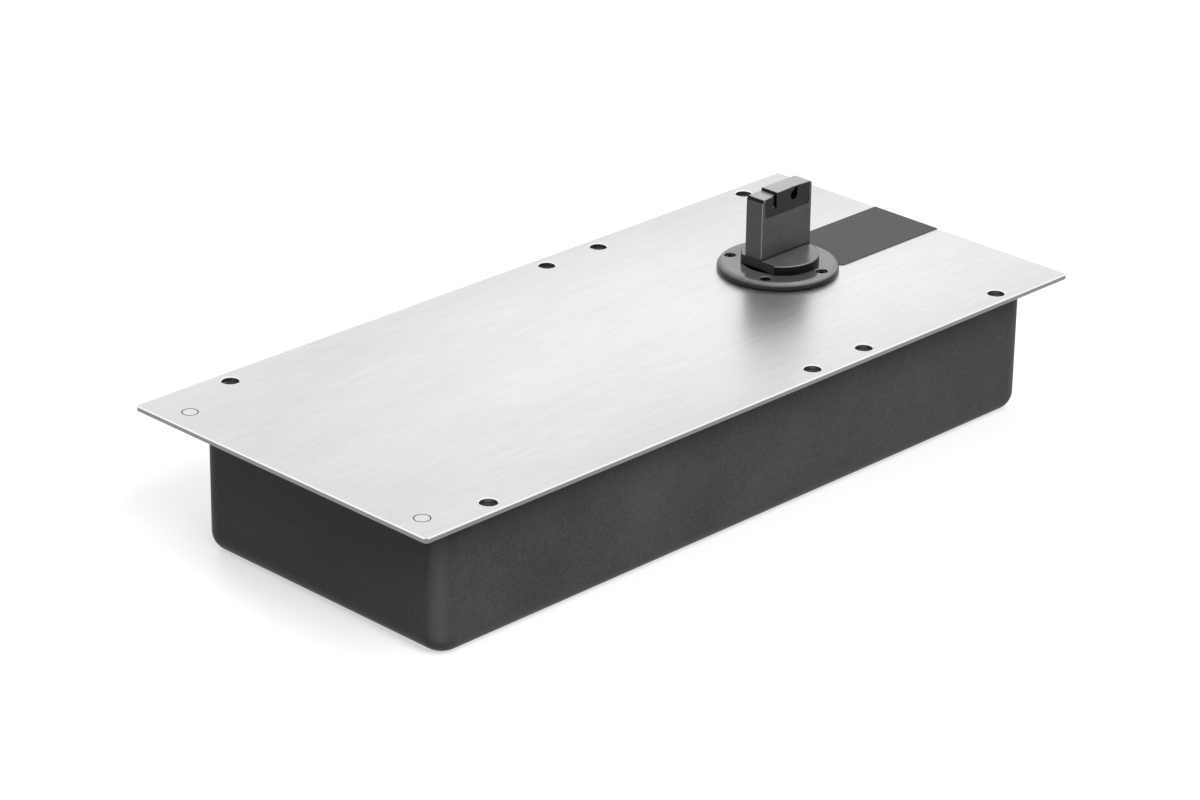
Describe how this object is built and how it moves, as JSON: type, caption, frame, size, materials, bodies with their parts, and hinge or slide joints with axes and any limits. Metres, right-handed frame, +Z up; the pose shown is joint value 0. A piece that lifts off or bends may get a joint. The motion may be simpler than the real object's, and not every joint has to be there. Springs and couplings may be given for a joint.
{
  "type": "floor spring",
  "caption": "Floor-mounted door closer: a deep case under a screwed cover plate, with a turning drive block on a spindle worked by a cam, a piston and a closing spring.",
  "frame": {"origin": "centre of the cover plate in plan, at the underside of the case", "axes": "+X along the length towards the spindle, +Y towards the far long edge, +Z up out of the floor"},
  "size_m": [0.35, 0.156, 0.0942],
  "materials": {
    "case_paint": "matt",
    "plate_steel": "brushed along the length",
    "strip_grey": "matt anodised",
    "plug_steel": "satin",
    "ring_grey": "satin",
    "screw_black": "satin",
    "cast_grey": "matt",
    "lid_grey": "matt",
    "gasket_green": "matt",
    "screw_steel": "satin",
    "seal_rubber": "matt",
    "bearing_steel": "polished",
    "cage_brass": "satin",
    "spindle_steel": "dark satin",
    "cam_steel": "ground",
    "piston_steel": "turned",
    "valve_brass": "satin",
    "spring_steel": "oil tempered"
  },
  "bodies": {
    "floor_case": {"case_pan": "case_paint", "cover_plate": "plate_steel", "label_strip": "strip_grey", "plate_plugs": "plug_steel", "cover_ring": "ring_grey", "ring_screws": "screw_black", "closer_body": "cast_grey", "body_lid": "lid_grey", "lid_gasket": "gasket_green", "lid_screws": "screw_steel", "filler_screw": "screw_steel", "shaft_seal": "seal_rubber", "upper_bearing_outer": "bearing_steel", "lower_bearing_outer": "bearing_steel", "closing_spring": "spring_steel", "spring_plug": "cam_steel", "spring_plug_oring": "seal_rubber", "gallery_plugs": "screw_steel", "case_studs": "screw_steel", "clamp_washers": "screw_steel", "clamp_nuts": "screw_steel", "levelling_screws": "screw_steel"},
    "spindle_group": {"spindle": "spindle_steel", "cam": "cam_steel", "cam_key": "screw_steel", "cam_circlip": "spring_steel", "upper_bearing_inner": "bearing_steel", "lower_bearing_inner": "bearing_steel"},
    "upper_ball_set": {"upper_bearing_balls": "bearing_steel", "upper_bearing_cage": "cage_brass"},
    "lower_ball_set": {"lower_bearing_balls": "bearing_steel", "lower_bearing_cage": "cage_brass"},
    "piston_group": {"piston": "piston_steel", "piston_seal": "seal_rubber", "check_cap": "valve_brass", "roller_axle": "cam_steel", "roller_washers": "cage_brass"},
    "cam_roller": {"roller": "bearing_steel", "roller_bush": "cage_brass"},
    "check_valve_ball": {"check_ball": "bearing_steel"},
    "closing_speed_valve": {"closing_valve": "valve_brass", "closing_valve_oring": "seal_rubber"},
    "latching_speed_valve": {"latching_valve": "valve_brass", "latching_valve_oring": "seal_rubber"}
  },
  "joints": [
    {"name": "spindle_turn", "type": "hinge", "parent": "floor_case", "child": "spindle_group", "pos_m": [0.095, 0.0052, 0], "axis": [0, 0, 1], "range_deg": [0, 120], "stiffness_Nm_per_rad": 4.66, "springref_deg": -5.73},
    {"name": "piston_slide", "type": "slide", "parent": "floor_case", "child": "piston_group", "axis": [-1, 0, 0], "range_m": [0, 0.0168], "deforming": ["closing_spring"]},
    {"name": "upper_balls_turn", "type": "hinge", "parent": "floor_case", "child": "upper_ball_set", "pos_m": [0.095, 0.0052, 0], "axis": [0, 0, 1], "range_deg": [0, 50]},
    {"name": "lower_balls_turn", "type": "hinge", "parent": "floor_case", "child": "lower_ball_set", "pos_m": [0.095, 0.0052, 0], "axis": [0, 0, 1], "range_deg": [0, 48]},
    {"name": "roller_spin", "type": "hinge", "parent": "piston_group", "child": "cam_roller", "pos_m": [0.07, 0.0052, 0.026], "axis": [0, 0, 1], "continuous": true},
    {"name": "check_ball_lift", "type": "slide", "parent": "piston_group", "child": "check_valve_ball", "axis": [1, 0, 0], "range_m": [0, 0.0008]},
    {"name": "closing_valve_turn", "type": "hinge", "parent": "floor_case", "child": "closing_speed_valve", "pos_m": [0.036, 0.0292, 0.048], "axis": [0, 0, 1], "range_deg": [0, 360]},
    {"name": "latching_valve_turn", "type": "hinge", "parent": "floor_case", "child": "latching_speed_valve", "pos_m": [0.004, 0.0292, 0.048], "axis": [0, 0, 1], "range_deg": [0, 360]}
  ],
  "couplings": [
    {"joint": "piston_slide", "follows": "spindle_turn", "m_per_rad": 0.008},
    {"joint": "upper_balls_turn", "follows": "spindle_turn", "ratio": 0.412},
    {"joint": "lower_balls_turn", "follows": "spindle_turn", "ratio": 0.399}
  ]
}
